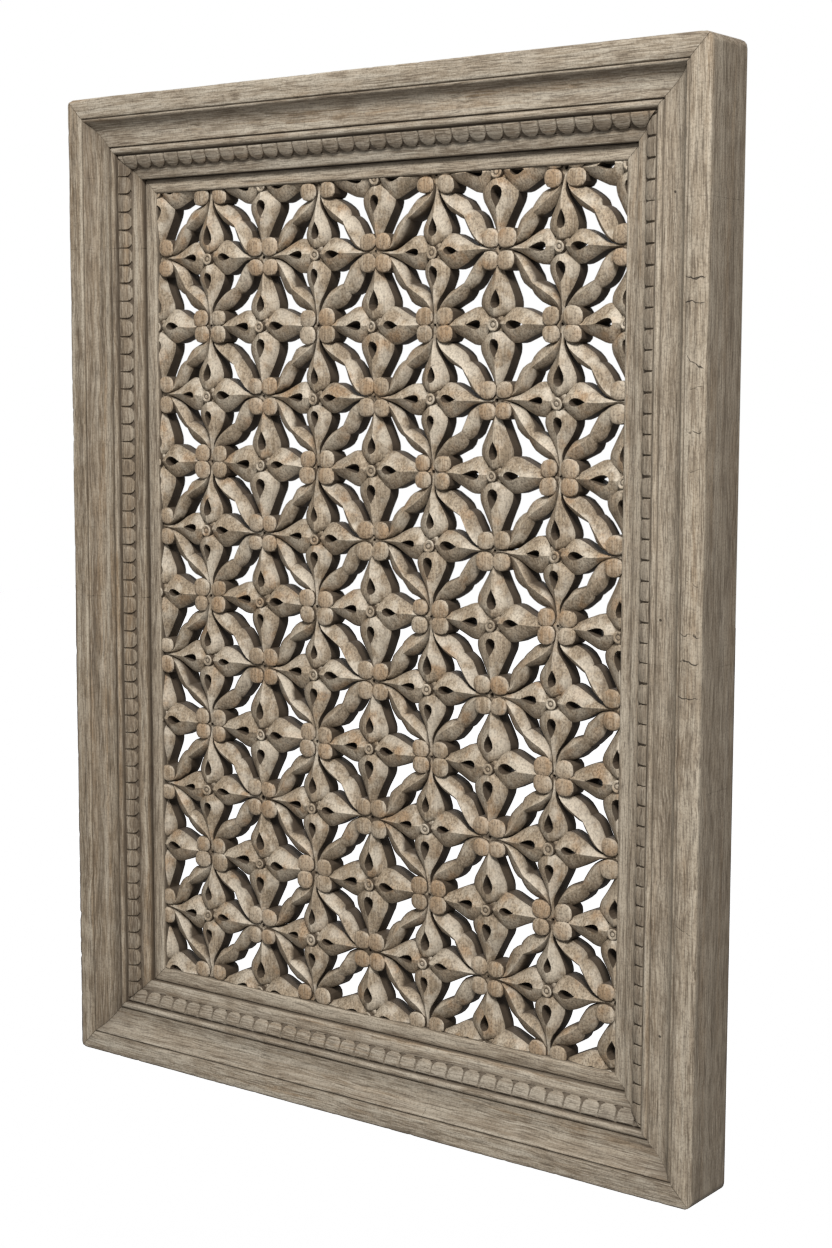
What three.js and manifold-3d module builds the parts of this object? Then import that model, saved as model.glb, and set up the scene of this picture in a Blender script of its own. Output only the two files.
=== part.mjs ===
// A carved and pierced wooden screen panel in a moulded, mitred frame.
// Millimetres, +Z up, the carved face towards -Y, the flat back on the plane y = 0.
// The origin is the middle of the top rail's back, where the panel hangs.
import * as THREE from "three";
import { mergeVertices } from "three/addons/utils/BufferGeometryUtils.js";
import Module from "manifold-3d";

// The whole panel.
const WIDTH = 675;
const HEIGHT = 900;
const DEPTH = 55;
const CORNER_RADIUS = 4.5;
const CORNER_STEPS = 3;
const MITRE_GAP = 0.22; // each mitred end stops this far short, so neighbours stay 0.3 apart

// The frame's rails and stiles share one moulded section.
const RAIL_WIDTH = 74;
const HANG_DROP = RAIL_WIDTH / 2; // from the panel's top edge down to the origin

// The section, from the front's outer arris inwards: [in from the outer edge, back from the front].
const RAIL_SECTION = [
  [0, 1.2],
  [1.2, 0],
  [18.4, 0],
  [18.8, 1.4], // fine quirk
  [19.4, 1.4],
  [20.2, 0.4], // small fillet
  [21.6, 1],
  [25.2, 5.4], // cove
  [28.8, 8.1],
  [34, 9.5],
  [40.5, 9.5],
  [44.4, 8.6],
  [45.1, 11], // quirk before the bead
  [45.7, 10.6],
  [46.9, 9],
  [48.7, 8.4], // crown of the bead
  [50.5, 9.2],
  [51.6, 11],
  [52.4, 12.6], // quirk behind the bead
  [53.2, 12.2],
  [59.5, 14.4], // the sloping face that carries the lappets
  [65, 18.2],
  [73.2, 20.8], // plain sloping band
  [RAIL_WIDTH, 21.6],
  [RAIL_WIDTH, DEPTH],
  [0, DEPTH],
];

// Four mitred slips hold the pierced board inside the frame.
const FIT_GAP = 0.3;
const SLIP_OUTER = RAIL_WIDTH + FIT_GAP;
const SLIP_INNER = 87;
const SLIP_FRONT = 26;
const SLIP_BACK = 33.4;
const SLIP_EASE = 0.9;

// The pierced board: a raised field in the slips' opening, and a thinner margin tucked behind them.
const FIELD_EDGE = SLIP_INNER + FIT_GAP;
const FIELD_FRONT = 27.6;
const MARGIN_EDGE = RAIL_WIDTH + FIT_GAP;
const MARGIN_FRONT = SLIP_BACK + FIT_GAP;
const BOARD_BACK = 47;

// The carving repeats on a grid of flowers and bead knots that alternate like a chessboard.
// The grid was set out a little out of square with the frame.
const COLUMNS = 8;
const ROWS = 12;
const PITCH_X = (WIDTH - 2 * SLIP_INNER) / COLUMNS;
const PITCH_Z = (HEIGHT - 2 * SLIP_INNER) / ROWS;
const GRID_TURN = -0.5; // degrees, clockwise seen from the front

// One opening beside a full flower, out from the flower's centre. It follows the side petal, the
// outer bead, the garland's hollow side, and the upright petal back.
const WIDE_OPENING = [
  [16, 15],
  [25, 14.9],
  [36, 10.2],
  [46, 5.9],
  [46, 13.5],
  [28.1, 27],
  [13.2, 44],
  [6.3, 43.8],
  [10.6, 35],
  [15.8, 24.5],
];

// One opening beside a slim flower, closed by the garland's lobed side.
const NARROW_OPENING = [
  [14.3, 14],
  [20.5, 14.2],
  [28, 10.5],
  [38.5, 5.6],
  [24.5, 23.2],
  [5.6, 37.2],
  [10.5, 27.2],
  [14.4, 20.2],
];

const wasm = await Module();
wasm.setup();

// A closed three.js geometry as a solid, turned so that its faces point outwards.
function solidOf(geometry) {
  const bare = new THREE.BufferGeometry();
  bare.setAttribute("position", geometry.getAttribute("position"));
  bare.setIndex(geometry.getIndex());
  const merged = mergeVertices(bare, 1e-4);
  const position = merged.getAttribute("position");
  const index = Array.from(merged.getIndex().array);
  const corners = [new THREE.Vector3(), new THREE.Vector3(), new THREE.Vector3()];
  let volume = 0;
  for (let i = 0; i < index.length; i += 3) {
    corners.forEach((corner, k) => corner.fromBufferAttribute(position, index[i + k]));
    volume += corners[0].dot(corners[1].clone().cross(corners[2])) / 6;
  }
  const facing = volume < 0 ? index.reverse() : index;
  return new wasm.Manifold(
    new wasm.Mesh({
      numProp: 3,
      vertProperties: Float32Array.from(position.array),
      triVerts: Uint32Array.from(facing),
    }),
  );
}

// A solid back as a three.js geometry.
function geometryOf(solid) {
  const mesh = solid.getMesh();
  const geometry = new THREE.BufferGeometry();
  geometry.setAttribute("position", new THREE.BufferAttribute(mesh.vertProperties, 3));
  geometry.setIndex(new THREE.BufferAttribute(mesh.triVerts, 1));
  const flat = geometry.toNonIndexed();
  flat.computeVertexNormals();
  return flat;
}

function shapeOf(points) {
  return new THREE.Shape(points.map(([x, y]) => new THREE.Vector2(x, y)));
}

// A plate with its outline in x and z, from one distance behind the front to another.
function plateOf(shape, front, back) {
  const plate = new THREE.ExtrudeGeometry(shape, { depth: back - front, bevelEnabled: false });
  plate.rotateX(Math.PI / 2);
  plate.translate(0, back - DEPTH, 0);
  return plate;
}

function rectangle(halfWidth, halfHeight) {
  return shapeOf([
    [-halfWidth, -halfHeight],
    [halfWidth, -halfHeight],
    [halfWidth, halfHeight],
    [-halfWidth, halfHeight],
  ]);
}

// One side of a mitred frame, lying along the top about the panel's centre.
function mitredSide(section, length, reach) {
  const bar = new THREE.ExtrudeGeometry(shapeOf(section), { depth: 1, bevelEnabled: false });
  const position = bar.getAttribute("position");
  for (let i = 0; i < position.count; i += 1) {
    const inwards = position.getX(i);
    const behind = position.getY(i);
    const run = length / 2 - inwards - MITRE_GAP;
    const x = position.getZ(i) < 0.5 ? -run : run;
    position.setXYZ(i, x, behind - DEPTH, reach - inwards);
  }
  return bar;
}

// The eased outline that the frame's four outer corners are rounded to.
function roundedBlock() {
  const points = [];
  const corners = [
    [1, 1, 0],
    [-1, 1, 90],
    [-1, -1, 180],
    [1, -1, 270],
  ];
  for (const [sideX, sideZ, start] of corners) {
    for (let step = 0; step <= CORNER_STEPS; step += 1) {
      const angle = THREE.MathUtils.degToRad(start + (90 * step) / CORNER_STEPS);
      const x = sideX * (WIDTH / 2 - CORNER_RADIUS) + CORNER_RADIUS * Math.cos(angle);
      const z = sideZ * (HEIGHT / 2 - CORNER_RADIUS) + CORNER_RADIUS * Math.sin(angle);
      points.push([x, z]);
    }
  }
  return solidOf(plateOf(shapeOf(points), 0, DEPTH));
}

const SIDES = [
  { place: "top", frameName: "frame_top_rail", turn: 0, length: WIDTH, reach: HEIGHT / 2 },
  { place: "bottom", frameName: "frame_bottom_rail", turn: 180, length: WIDTH, reach: HEIGHT / 2 },
  { place: "left", frameName: "frame_left_stile", turn: -90, length: HEIGHT, reach: WIDTH / 2 },
  { place: "right", frameName: "frame_right_stile", turn: 90, length: HEIGHT, reach: WIDTH / 2 },
];

const SLIP_SECTION = [
  [SLIP_OUTER, SLIP_FRONT],
  [SLIP_INNER - SLIP_EASE, SLIP_FRONT],
  [SLIP_INNER, SLIP_FRONT + SLIP_EASE],
  [SLIP_INNER, SLIP_BACK],
  [SLIP_OUTER, SLIP_BACK],
];

// The outline of one opening, for the flower at a grid node and one of its four quarters.
function openingAt(column, row, sideX, sideZ) {
  const full = (column + row) % 2 === 0 && column % 2 === 0;
  const outline = full ? WIDE_OPENING : NARROW_OPENING;
  const turn = THREE.MathUtils.degToRad(GRID_TURN);
  const points = outline.map(([outX, outZ]) => {
    const x = (column - COLUMNS / 2) * PITCH_X + sideX * outX;
    const z = (ROWS / 2 - row) * PITCH_Z + sideZ * outZ;
    return new THREE.Vector2(
      x * Math.cos(turn) - z * Math.sin(turn),
      x * Math.sin(turn) + z * Math.cos(turn),
    );
  });
  return new THREE.Path(sideX * sideZ > 0 ? points.reverse() : points);
}

function piercedBoard() {
  const field = rectangle(WIDTH / 2 - FIELD_EDGE, HEIGHT / 2 - FIELD_EDGE);
  for (let column = 0; column <= COLUMNS; column += 1) {
    for (let row = column % 2; row <= ROWS; row += 2) {
      for (const sideX of [-1, 1]) {
        for (const sideZ of [-1, 1]) {
          const acrossFrame = column + sideX < 0 || column + sideX > COLUMNS;
          const alongFrame = row - sideZ < 0 || row - sideZ > ROWS;
          if (!acrossFrame && !alongFrame) {
            field.holes.push(openingAt(column, row, sideX, sideZ));
          }
        }
      }
    }
  }
  const margin = rectangle(WIDTH / 2 - MARGIN_EDGE, HEIGHT / 2 - MARGIN_EDGE);
  const inside = rectangle(WIDTH / 2 - FIELD_EDGE, HEIGHT / 2 - FIELD_EDGE);
  margin.holes.push(new THREE.Path(inside.getPoints().reverse()));
  const carved = solidOf(plateOf(field, FIELD_FRONT, BOARD_BACK));
  return carved.add(solidOf(plateOf(margin, MARGIN_FRONT, BOARD_BACK)));
}

const WOODS = {
  frame: new THREE.MeshStandardMaterial({ color: 0x94856f, roughness: 0.82, metalness: 0 }),
  slip: new THREE.MeshStandardMaterial({ color: 0x968772, roughness: 0.82, metalness: 0 }),
  board: new THREE.MeshStandardMaterial({ color: 0x8b7b66, roughness: 0.85, metalness: 0 }),
};

const panel = new THREE.Group();
panel.name = "mashrabiya_screen";

function addPiece(name, geometry, material) {
  geometry.translate(0, 0, HANG_DROP - HEIGHT / 2);
  const piece = new THREE.Mesh(geometry, material);
  piece.name = name;
  panel.add(piece);
}

const block = roundedBlock();
for (const { place, frameName, turn, length, reach } of SIDES) {
  const angle = THREE.MathUtils.degToRad(turn);
  const rail = mitredSide(RAIL_SECTION, length, reach).rotateY(angle);
  addPiece(frameName, geometryOf(solidOf(rail).intersect(block)), WOODS.frame);
  const slip = mitredSide(SLIP_SECTION, length, reach).rotateY(angle);
  addPiece(`slip_${place}`, geometryOf(solidOf(slip)), WOODS.slip);
}
addPiece("lattice_panel", geometryOf(piercedBoard()), WOODS.board);

export default panel;
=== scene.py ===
"""Looks of a carved and pierced wooden screen panel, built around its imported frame.

Lengths are millimetres until a mesh is placed. A point is (across, behind, up): across and up are
measured from the panel's centre, and behind from the plane of the frame's front.
"""

import logging
import math
from collections.abc import Callable, Iterable, Sequence
from dataclasses import dataclass, field, replace
from enum import Enum

import bpy
import numpy as np
from mathutils import Matrix, Vector


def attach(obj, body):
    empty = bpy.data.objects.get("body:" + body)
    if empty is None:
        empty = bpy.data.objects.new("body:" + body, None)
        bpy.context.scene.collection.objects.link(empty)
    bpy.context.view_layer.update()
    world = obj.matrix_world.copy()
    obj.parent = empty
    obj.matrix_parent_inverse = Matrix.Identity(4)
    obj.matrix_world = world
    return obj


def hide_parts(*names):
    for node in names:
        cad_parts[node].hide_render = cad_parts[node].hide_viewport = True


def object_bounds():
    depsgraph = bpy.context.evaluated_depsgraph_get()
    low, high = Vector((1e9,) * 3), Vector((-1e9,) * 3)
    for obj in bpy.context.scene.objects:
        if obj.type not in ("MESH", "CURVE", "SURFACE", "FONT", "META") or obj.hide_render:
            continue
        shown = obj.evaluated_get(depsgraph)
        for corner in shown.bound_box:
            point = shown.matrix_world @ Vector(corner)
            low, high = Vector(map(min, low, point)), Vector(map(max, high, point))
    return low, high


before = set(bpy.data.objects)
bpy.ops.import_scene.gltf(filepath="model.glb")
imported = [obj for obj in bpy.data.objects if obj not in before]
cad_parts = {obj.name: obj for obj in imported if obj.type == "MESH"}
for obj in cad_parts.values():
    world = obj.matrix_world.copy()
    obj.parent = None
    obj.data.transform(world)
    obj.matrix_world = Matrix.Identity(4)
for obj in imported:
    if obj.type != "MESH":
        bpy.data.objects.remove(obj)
CAD_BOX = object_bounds()

LOG = logging.getLogger("screen_panel")
METRE = 1000.0

Array = np.ndarray


class Side(Enum):
    """The four sides of a mitred frame, each with its clockwise quarter turns from the top."""

    TOP = 0
    RIGHT = 1
    BOTTOM = 2
    LEFT = 3


class GrainRun(Enum):
    """The way that the grain of a piece runs."""

    ACROSS = "across"
    UPRIGHT = "upright"


# ------------------------------------------------------------------------------------------------
# Geometry shared by every piece
# ------------------------------------------------------------------------------------------------


@dataclass(frozen=True)
class Datum:
    """Where the panel sits in the frame's space, in millimetres."""

    width: float
    height: float
    depth: float
    centre_up: float

    @classmethod
    def of_box(cls, box: tuple[Vector, Vector]) -> "Datum":
        """Reads the panel's size and place from its box.

        Args:
            box: the lowest and highest corners, in metres.

        Returns:
            The datum, in millimetres.
        """
        low, high = (np.array(corner) * METRE for corner in box)
        size = high - low
        return cls(float(size[0]), float(size[2]), float(size[1]), float(low[2] + size[2] / 2))

    def placed(self, points: Array) -> Array:
        """Turns (across, behind, up) in millimetres into the frame's space in metres."""
        return (points + np.array([0.0, -self.depth, self.centre_up])) / METRE


def unit(vectors: Array) -> Array:
    """Scales vectors to length one along their last axis."""
    return vectors / np.linalg.norm(vectors, axis=-1, keepdims=True)


def left_of(vectors: Array) -> Array:
    """Turns plane vectors a quarter turn to their left, seen from the front."""
    return np.stack([-vectors[..., 1], vectors[..., 0]], -1)


def smooth_step(low: float, high: float, values: Array) -> Array:
    """A ramp from 0 at low to 1 at high, eased at both ends: 3t^2 - 2t^3."""
    t = np.clip((values - low) / (high - low), 0.0, 1.0)
    return t * t * (3.0 - 2.0 * t)


@dataclass(frozen=True)
class HandError:
    """Slow wandering of a hand-cut surface: a sum of sine waves with seeded directions."""

    seed: int
    wavelength: float
    size: float
    waves: int = 7

    def at(self, points: Array) -> Array:
        """Each wave is sin(direction . point + phase); the waves are added and scaled to size.

        Args:
            points: places in millimetres, any number of axes in the last dimension.

        Returns:
            One offset in millimetres for each point.
        """
        rng = np.random.default_rng(self.seed)
        axes = points.shape[-1]
        heading = unit(rng.normal(size=(self.waves, axes)))
        pitch = 2.0 * math.pi / (self.wavelength * rng.uniform(0.6, 1.7, self.waves))
        phase = rng.uniform(0.0, 2.0 * math.pi, self.waves)
        total = np.zeros(points.shape[:-1])
        for direction, rate, shift in zip(heading, pitch, phase):
            total += np.sin(points @ direction * rate + shift)
        return total * self.size / math.sqrt(self.waves / 2.0)


@dataclass
class Shell:
    """Points and faces of one or more closed surfaces."""

    points: Array
    faces: list[Array]
    painted_shade_and_dirt: Array | None = None

    @classmethod
    def joined(cls, shells: Iterable["Shell"]) -> "Shell":
        """Puts several shells into one, side by side in the lists, with nothing welded.

        Args:
            shells: the shells, without painted shade and dirt values.

        Returns:
            The shell that holds them all.
        """
        points, faces, start = [], [], 0
        for shell in shells:
            points.append(shell.points)
            faces.extend(block + start for block in shell.faces)
            start += len(shell.points)
        return cls(np.concatenate(points), faces)

    def mesh(self, name: str, datum: Datum) -> bpy.types.Mesh:
        """Writes the shell into a new mesh.

        Args:
            name: the mesh's name.
            datum: where the panel sits.

        Returns:
            The mesh, with a painted_shade_and_dirt value at each point if the shell has one.
        """
        made = bpy.data.meshes.new(name)
        rows = [face for block in self.faces for face in block.tolist()]
        made.from_pydata(datum.placed(self.points).tolist(), [], rows)
        if self.painted_shade_and_dirt is not None:
            write_values(made, "painted_shade_and_dirt", self.painted_shade_and_dirt)
        made.update()
        return made


def without_repeats(faces: Iterable[Sequence[int]]) -> dict[int, Array]:
    """Drops repeated corners from faces and sorts what is left by its number of corners.

    Args:
        faces: the corners' numbers, face by face.

    Returns:
        The faces that are left, one array for each number of corners.
    """
    kept: dict[int, list[list[int]]] = {}
    for face in faces:
        corners = [c for k, c in enumerate(face) if c != face[k - 1]]
        if len(set(corners)) > 2:
            kept.setdefault(len(corners), []).append(corners)
    return {size: np.array(rows) for size, rows in kept.items()}


def repeated(template: dict[int, Array], count: int, stride: int) -> list[Array]:
    """Copies a template's faces once for each of count shells of stride points."""
    starts = np.arange(count)[:, None, None] * stride
    return [(rows[None] + starts).reshape(-1, rows.shape[1]) for rows in template.values()]


def leaf_shells(top: Array, back: float) -> Shell:
    """Closed shells under leaf-shaped tops.

    A top is a grid of stations along the leaf by points across it, drawn to a point at both ends.
    Its two edges drop straight to the back, and the back is a flat strip between them.

    Args:
        top: points, (leaves, stations, points across, 3), running to the left across.
        back: the depth of the flat back.

    Returns:
        One closed shell for each leaf.
    """
    count, stations, across, _ = top.shape
    edges = top[:, :, [0, -1], :].copy()
    edges[..., 1] = back
    grid = np.arange(stations * across).reshape(stations, across)
    grid[[0, -1]] = grid[[0, -1], :1]
    low = stations * across + np.arange(stations * 2).reshape(stations, 2)
    low[[0, -1]] = low[[0, -1], :1]
    faces: list[tuple[int, ...]] = []
    for u in range(stations - 1):
        for v in range(across - 1):
            faces.append((grid[u, v], grid[u + 1, v], grid[u + 1, v + 1], grid[u, v + 1]))
        faces.append((grid[u, 0], low[u, 0], low[u + 1, 0], grid[u + 1, 0]))
        faces.append((grid[u, -1], grid[u + 1, -1], low[u + 1, 1], low[u, 1]))
        faces.append((low[u, 0], low[u, 1], low[u + 1, 1], low[u + 1, 0]))
    template = without_repeats([tuple(int(c) for c in face) for face in faces])
    points = np.concatenate([top.reshape(count, -1, 3), edges.reshape(count, -1, 3)], 1)
    return Shell(points.reshape(-1, 3), repeated(template, count, points.shape[1]))


def ring_shells(rings: Array) -> Shell:
    """Closed shells lofted through rings, each with a flat face on its first and last ring.

    Args:
        rings: points, (shells, rings, points round, 3), counter-clockwise seen from the front,
            from the front ring to the back one.

    Returns:
        One closed shell for each stack of rings.
    """
    count, stacked, around, _ = rings.shape
    grid = np.arange(stacked * around).reshape(stacked, around)
    following = np.roll(grid, -1, 1)
    walls = np.stack([grid[:-1], grid[1:], following[1:], following[:-1]], -1).reshape(-1, 4)
    caps = np.stack([grid[0], grid[-1, ::-1]])
    template = {4: walls, around: caps} if around != 4 else {4: np.concatenate([walls, caps])}
    return Shell(rings.reshape(-1, 3), repeated(template, count, stacked * around))


def read_vectors(values: bpy.types.bpy_prop_collection, name: str) -> Array:
    """Reads one vector of each item into an array.

    Args:
        values: the items, such as a mesh's vertices.
        name: the vector's name.

    Returns:
        The vectors, (items, 3).
    """
    flat = np.empty(len(values) * 3, np.float32)
    values.foreach_get(name, flat)
    return flat.reshape(-1, 3)


def write_values(mesh: bpy.types.Mesh, name: str, values: Array) -> None:
    """Keeps one named value at each point of a mesh."""
    layer = mesh.attributes.new(name, "FLOAT", "POINT")
    layer.data.foreach_set("value", values.astype(np.float32))


def mark_hollows(mesh: bpy.types.Mesh, near: float = 0.7, evening: float = 0.35) -> None:
    """Gives each point a hollow_shade value: how steeply its neighbours rise above it, from -1 to 1.

    The rise to a neighbour is the sine of its angle above the point's tangent plane. Near
    neighbours weigh more, by 1 / (distance + near), and one pass of averaging evens the values.

    Args:
        mesh: the mesh, in metres.
        near: the distance at which a neighbour weighs half as much, in millimetres.
        evening: the share of the averaged value.
    """
    count = len(mesh.vertices)
    place, normal = read_vectors(mesh.vertices, "co"), read_vectors(mesh.vertex_normals, "vector")
    ends = np.empty(len(mesh.edges) * 2, np.int32)
    mesh.edges.foreach_get("vertices", ends)
    ends = ends.reshape(-1, 2)
    here, there = np.concatenate([ends, ends[:, ::-1]]).T
    way = (place[there] - place[here]) * METRE
    length = np.linalg.norm(way, axis=1)
    rise = (way * normal[here]).sum(1) / np.maximum(length, 1e-6)
    weight = 1.0 / (length + near)
    total = np.bincount(here, weight, count)
    value = np.bincount(here, rise * weight, count) / np.maximum(total, 1e-9)
    evened = np.bincount(here, value[there] * weight, count) / np.maximum(total, 1e-9)
    # the finish paints shade and dirt in the creases where this value is high, and pale wear on ridges
    # where it is low
    write_values(mesh, "hollow_shade", (1.0 - evening) * value + evening * evened)


def linked(name: str, data: bpy.types.ID) -> bpy.types.Object:
    """A new object of the data, linked to the scene."""
    made = bpy.data.objects.new(name, data)
    bpy.context.scene.collection.objects.link(made)
    return made


def new_piece(mesh: bpy.types.Mesh, name: str, sharp: float) -> bpy.types.Object:
    """Shows a mesh as a piece, smooth except over edges sharper than the angle.

    Args:
        mesh: the piece's mesh.
        name: the piece's name.
        sharp: the angle, in degrees.

    Returns:
        The piece.
    """
    mesh.shade_smooth()
    mesh.set_sharp_from_angle(angle=math.radians(sharp))
    return linked(name, mesh)


# ------------------------------------------------------------------------------------------------
# Moulded frame and slips
# ------------------------------------------------------------------------------------------------


@dataclass(frozen=True)
class Tongues:
    """A row of carved tongues on a rail's sloping face, flat ends towards the bead."""

    start: tuple[float, float] = (53.2, 12.1)  # in from the edge, behind the front
    finish: tuple[float, float] = (64.4, 17.9)
    proud: float = 1.9
    sunk: float = 0.8
    straight_share: float = 0.54
    corner_power: float = 2.5
    rows: tuple[float, ...] = (0.0, 0.05, 0.3, 0.5, 0.6, 0.7, 0.79, 0.86, 0.92, 0.965)
    columns: tuple[float, ...] = (-1.0, -0.955, -0.88, -0.62, -0.22, 0.22, 0.62, 0.88, 0.955)

    def outline(self, row: Array) -> Array:
        """The tongue's half-width: straight at first, then (1 - t^n)^(1/n) round its end."""
        t = np.clip((row - self.straight_share) / (1.0 - self.straight_share), 0.0, 1.0)
        return (1.0 - t**self.corner_power) ** (1.0 / self.corner_power)

    def height(self, column: Array, row: Array) -> Array:
        """Proud and gently crowned inside the outline, sunk in the cuts between tongues.

        The crown loses 0.4 * side^2 of its height towards its sides and 0.35 of it at the round
        end, and starts at 0.45 of it at the flat end. The cuts deepen towards the round ends.

        Args:
            column: places across the tongue, from -1 to 1.
            row: places along it, from 0 at the flat end to 1.

        Returns:
            Heights above the sloping face, in millimetres.
        """
        side = np.abs(column)
        crown = self.proud * (1.0 - 0.4 * side**2) * (1.0 - 0.35 * smooth_step(0.75, 1.0, row))
        edge = smooth_step(0.95, 0.89, side)
        heel = 0.45 + 0.55 * smooth_step(0.0, 0.08, row)
        return crown * edge * heel - self.sunk * (0.3 + 0.7 * row) * (1.0 - edge)


@dataclass(frozen=True)
class Chip:
    """A splinter lost from a rail's outer arris, placed along the rail from its middle."""

    place: float
    width: float
    bite: float


@dataclass(frozen=True)
class Section:
    """A moulding's closed section: rows of (in from the edge, behind the front, painted shade and
    dirt).
    """

    before: tuple[tuple[float, float, float], ...]
    tongues: Tongues | None
    after: tuple[tuple[float, float, float], ...]

    def rows(self) -> tuple[Array, Array]:
        """Lists the section's rows.

        Returns:
            The rows, and the share of a tongue's length at each, or -1 off the tongues.
        """
        before, after = np.array(self.before), np.array(self.after)
        if self.tongues is None:
            return np.concatenate([before, after]), np.full(len(before) + len(after), -1.0)
        share = np.array(self.tongues.rows)
        start, finish = np.array(self.tongues.start), np.array(self.tongues.finish)
        face = start + (finish - start) * share[:, None]
        face[:, 1] -= 0.5 * np.sin(math.pi * share)
        middle = np.concatenate([face, np.full((len(share), 1), 0.25)], 1)
        off = [np.full(len(before), -1.0), share, np.full(len(after), -1.0)]
        return np.concatenate([before, middle, after]), np.concatenate(off)


# The third value of each row is painted shade and dirt: painted shade on the outer side face, in the
# quirks and grooves and in the gap by the slip.
RAIL_SECTION = Section(
    before=(
        (0.9, 55.0, 0.4),
        (0.0, 54.1, 0.5),
        (0.0, 47.0, 0.48),
        (0.0, 38.0, 0.44),
        (0.0, 29.0, 0.42),
        (0.0, 20.0, 0.4),
        (0.0, 12.0, 0.37),
        (0.0, 6.5, 0.33),
        (0.0, 3.2, 0.2),
        (0.15, 1.8, 0.0),
        (0.6, 0.75, 0.0),
        (1.5, 0.2, 0.0),
        (2.8, 0.0, 0.0),
        (6.0, 0.0, 0.0),
        (10.0, 0.0, 0.0),
        (14.0, 0.0, 0.0),
        (17.4, 0.05, 0.0),
        (18.1, 0.4, 0.2),
        (18.5, 1.5, 0.6),
        (19.0, 1.6, 0.7),
        (19.5, 0.85, 0.4),
        (20.2, 0.5, 0.1),
        (21.1, 0.75, 0.1),
        (21.8, 1.6, 0.3),
        (23.2, 3.6, 0.3),
        (25.0, 5.6, 0.25),
        (26.9, 7.1, 0.2),
        (29.0, 8.2, 0.15),
        (31.5, 8.95, 0.1),
        (34.5, 9.5, 0.1),
        (37.8, 9.6, 0.1),
        (41.0, 9.4, 0.1),
        (43.4, 8.9, 0.15),
        (44.4, 8.9, 0.3),
        (44.8, 10.7, 0.7),
        (45.3, 10.9, 0.7),
        (45.7, 10.2, 0.5),
        (46.3, 9.3, 0.2),
        (47.3, 8.6, 0.0),
        (48.6, 8.35, 0.0),
        (49.9, 8.65, 0.0),
        (50.9, 9.45, 0.2),
        (51.5, 10.8, 0.7),
        (51.8, 12.7, 1.0),
        (52.7, 12.9, 1.0),
    ),
    tongues=Tongues(),
    after=(
        (64.7, 18.5, 0.7),
        (65.3, 18.75, 0.45),
        (66.2, 18.95, 0.2),
        (68.0, 19.45, 0.1),
        (70.6, 20.1, 0.05),
        (72.8, 20.65, 0.05),
        (73.7, 21.1, 0.1),
        (74.0, 22.0, 0.4),
        (74.0, 25.0, 0.9),
        (74.0, 36.0, 1.0),
        (74.0, 48.0, 0.8),
        (74.0, 54.2, 0.6),
        (73.2, 55.0, 0.5),
        (56.0, 55.0, 0.2),
        (38.0, 55.0, 0.2),
        (20.0, 55.0, 0.2),
    ),
)

ROUND_TONGUES_SECTION = replace(RAIL_SECTION, tongues=Tongues(straight_share=0.42, corner_power=2.1))

# The third value is painted shade on the slip's side walls and where its front turns down to them.
SLIP_SECTION = Section(
    before=(
        (74.3, 33.4, 1.0),
        (74.3, 29.0, 1.0),
        (74.35, 26.9, 0.95),
        (74.9, 26.15, 0.75),
        (76.2, 26.0, 0.3),
        (79.0, 26.0, 0.1),
        (82.5, 26.05, 0.05),
        (84.9, 26.1, 0.0),
        (86.1, 26.35, 0.05),
        (86.8, 27.0, 0.2),
        (87.0, 28.2, 0.6),
    ),
    tongues=None,
    after=((87.0, 31.0, 0.9), (87.0, 33.4, 1.0), (80.0, 33.4, 1.0)),
)


@dataclass
class Sheet:
    """A side's surface before it is turned into place: arrays of (stations, rows)."""

    run: Array
    inwards: Array
    behind: Array
    painted_shade_and_dirt: Array


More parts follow.
